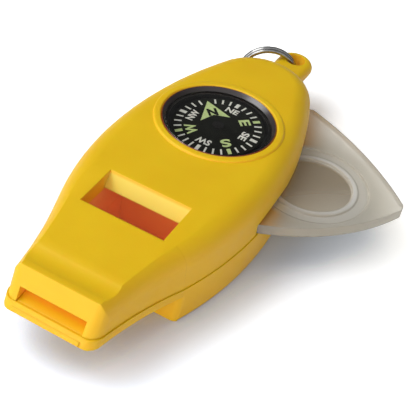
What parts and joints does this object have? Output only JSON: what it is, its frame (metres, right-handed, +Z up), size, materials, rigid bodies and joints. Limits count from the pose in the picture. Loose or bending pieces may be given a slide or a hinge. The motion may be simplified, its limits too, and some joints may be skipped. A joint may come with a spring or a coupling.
{
  "type": "survival whistle",
  "caption": "Flat pea-less pocket whistle with a round compass in its top, a clear magnifier leaf that swings out of the side and a split ring in a rear eyelet.",
  "frame": {"origin": "on the flat resting face of the lower shell, straight below the axis of the compass", "axes": "+Z up through the compass, +Y from the mouthpiece towards the eyelet, +X to the right, the side the leaf opens to"},
  "size_m": [0.0492, 0.0884, 0.0155],
  "materials": {
    "shell_top": "satin moulded",
    "shell_bottom": "satin moulded",
    "clear_leaf": "polished clear",
    "pin_steel": "plain",
    "cup_black": "gloss",
    "clear_dome": "polished clear",
    "seal_rubber": "matt",
    "card_black": "matt printed",
    "jewel_plastic": "plain",
    "magnet_steel": "plain",
    "post_brass": "turned",
    "ring_chrome": "bright"
  },
  "bodies": {
    "whistle": {"upper_shell": "shell_top", "lower_shell": "shell_bottom", "leaf_pin": "pin_steel", "compass_cup": "cup_black", "compass_dome": "clear_dome", "dome_seal": "seal_rubber", "compass_post": "post_brass"},
    "leaf": {"magnifier_leaf": "clear_leaf"},
    "card": {"compass_card": "card_black", "card_jewel": "jewel_plastic", "card_magnet": "magnet_steel"},
    "ring": {"split_ring": "ring_chrome"}
  },
  "joints": [
    {"name": "leaf_hinge", "type": "hinge", "parent": "whistle", "child": "leaf", "pos_m": [0, 0.0202, 0.0081], "axis": [0, 0, 1], "range_deg": [-45.9, 18]},
    {"name": "card_spin", "type": "hinge", "parent": "whistle", "child": "card", "pos_m": [0, 0, 0.012], "axis": [0, 0, 1], "continuous": true},
    {"name": "ring_swing", "type": "hinge", "parent": "whistle", "child": "ring", "pos_m": [0, 0.0343, 0.009], "axis": [0, 0, 1], "range_deg": [-250, 15]}
  ]
}
